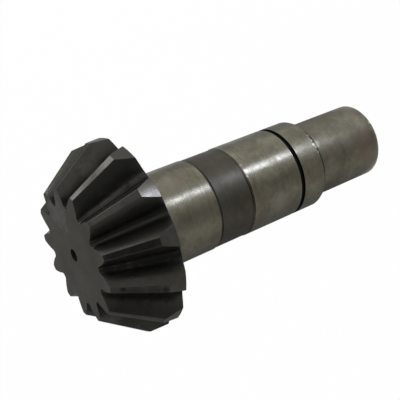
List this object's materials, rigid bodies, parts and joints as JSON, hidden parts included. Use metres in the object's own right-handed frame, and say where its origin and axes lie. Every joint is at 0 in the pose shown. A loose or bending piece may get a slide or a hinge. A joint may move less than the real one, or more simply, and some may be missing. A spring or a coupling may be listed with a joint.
{
  "type": "bevel pinion shaft",
  "caption": "Straight bevel pinion in one piece with its stepped bearing shaft, with a retaining ring groove and lathe centre holes.",
  "frame": {"origin": "centre of the flat end face of the tail, at the bottom of the standing shaft", "axes": "+Z along the shaft axis from the tail end to the gear; one tooth is centred on +X"},
  "size_m": [0.1287, 0.1292, 0.2454],
  "materials": {
    "steel": "hardened steel: ground bright on the journals, dark on the teeth and in the relief band"
  },
  "bodies": {
    "root": {"pinion_shaft": "steel"}
  },
  "joints": []
}
